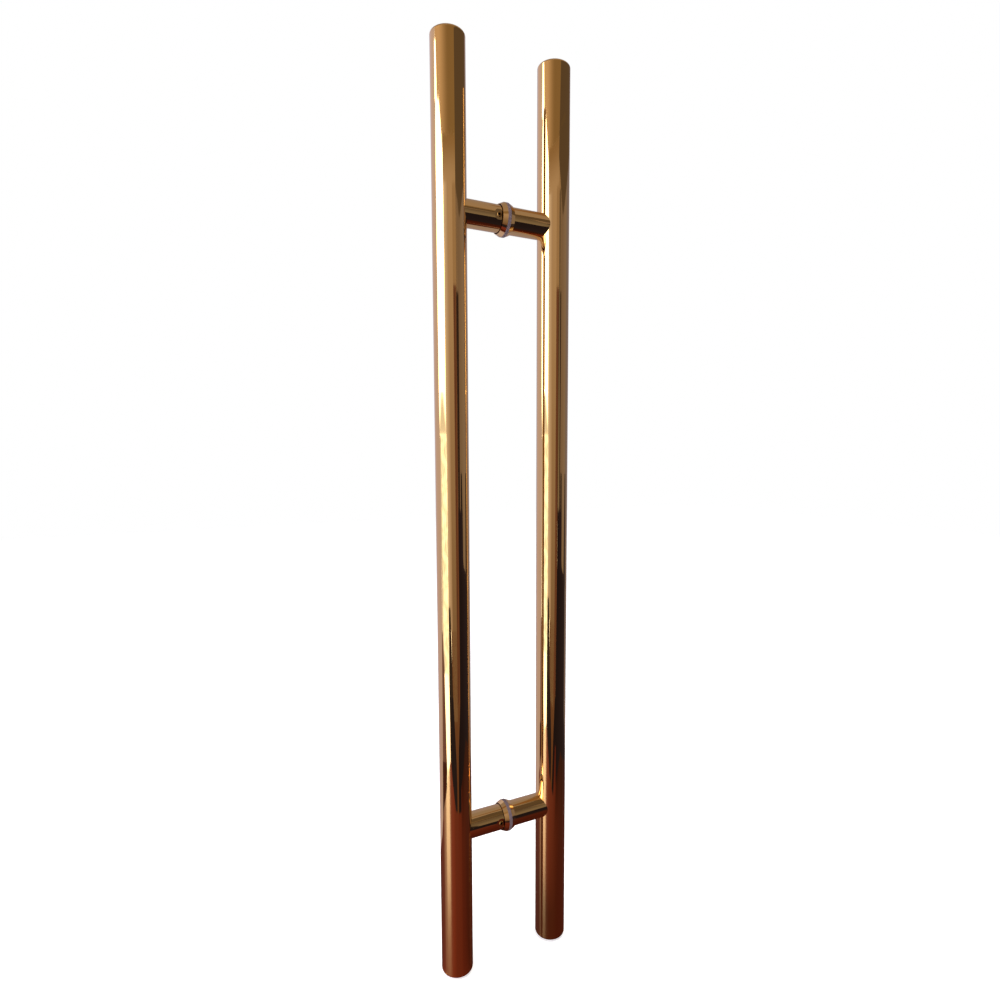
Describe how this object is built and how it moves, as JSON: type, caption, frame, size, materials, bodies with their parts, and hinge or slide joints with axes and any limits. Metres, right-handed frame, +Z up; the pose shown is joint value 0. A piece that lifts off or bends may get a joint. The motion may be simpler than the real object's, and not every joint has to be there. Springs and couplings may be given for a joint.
{
  "type": "ladder pull handle",
  "caption": "Back-to-back ladder pull handle for a glass door: straight round bars in mirror gold, carried on short saddle-cut posts with tapered collars and gaskets.",
  "frame": {"origin": "on the door's mid-plane, where the gaskets meet, midway between the two fixings; also the centre of the whole handle", "axes": "+Z up along the bars, Y through the door with the front handle on the -Y side, X across the handle in the door's plane"},
  "size_m": [0.032, 0.141, 0.9],
  "materials": {
    "gold_steel": "stainless steel, mirror polished, with a titanium-gold vapour coating",
    "gasket_plastic": "soft translucent grey PVC, moulded",
    "screw_steel": "plain stainless steel, machined"
  },
  "bodies": {
    "root": {"front_bar": "gold_steel", "front_top_cap": "gold_steel", "front_bottom_cap": "gold_steel", "front_upper_post": "gold_steel", "front_upper_collar": "gold_steel", "front_upper_gasket": "gasket_plastic", "front_lower_post": "gold_steel", "front_lower_collar": "gold_steel", "front_lower_gasket": "gasket_plastic", "back_bar": "gold_steel", "back_top_cap": "gold_steel", "back_bottom_cap": "gold_steel", "back_upper_post": "gold_steel", "back_upper_collar": "gold_steel", "back_upper_gasket": "gasket_plastic", "back_lower_post": "gold_steel", "back_lower_collar": "gold_steel", "back_lower_gasket": "gasket_plastic", "grub_screws": "gold_steel", "post_screws": "screw_steel", "through_studs": "screw_steel"}
  },
  "joints": []
}
